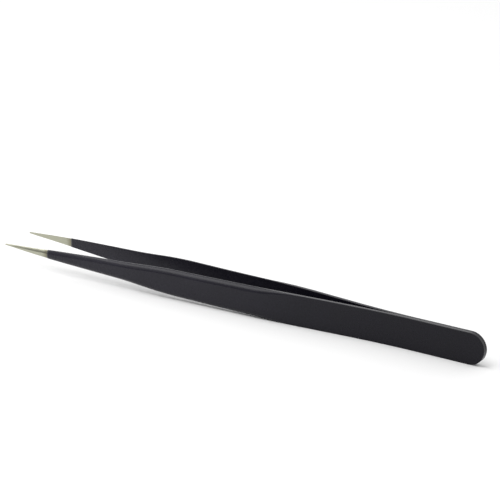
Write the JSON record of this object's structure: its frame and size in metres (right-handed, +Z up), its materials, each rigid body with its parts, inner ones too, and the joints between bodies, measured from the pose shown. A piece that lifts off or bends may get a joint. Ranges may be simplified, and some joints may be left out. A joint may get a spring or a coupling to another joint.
{
  "type": "precision tweezers",
  "caption": "Straight fine-point tweezers: bowed spring steel arms welded at the rounded tail, coated satin black up to the bare points.",
  "frame": {"origin": "on the resting plane, under the middle of the length and on the mid-plane between the arms", "axes": "+X from the tail towards the points, +Y towards the left arm, +Z up from the lower narrow edges that the tweezers stand on"},
  "size_m": [0.14, 0.0114, 0.0082],
  "materials": {
    "bare_steel": "fine ground stainless steel with a faint warm tint at the points",
    "black_coating": "satin black dissipative coating with a very fine texture",
    "weld_metal": "dull resistance weld nugget"
  },
  "bodies": {
    "tail": {"left_heel_steel": "bare_steel", "left_heel_coat": "black_coating", "right_heel_steel": "bare_steel", "right_heel_coat": "black_coating", "rear_weld": "weld_metal", "front_weld": "weld_metal"},
    "left_arm": {"left_arm_steel": "bare_steel", "left_arm_coat": "black_coating"},
    "right_arm": {"right_arm_steel": "bare_steel", "right_arm_coat": "black_coating"}
  },
  "joints": [
    {"name": "left_arm_flex", "type": "hinge", "parent": "tail", "child": "left_arm", "pos_m": [-0.028, 0.00161, 0.0041], "axis": [0, 0, -1], "range_deg": [0, 2.99], "stiffness_Nm_per_rad": 1.6},
    {"name": "right_arm_flex", "type": "hinge", "parent": "tail", "child": "right_arm", "pos_m": [-0.028, -0.00161, 0.0041], "axis": [0, 0, 1], "range_deg": [0, 2.99], "stiffness_Nm_per_rad": 1.6}
  ]
}
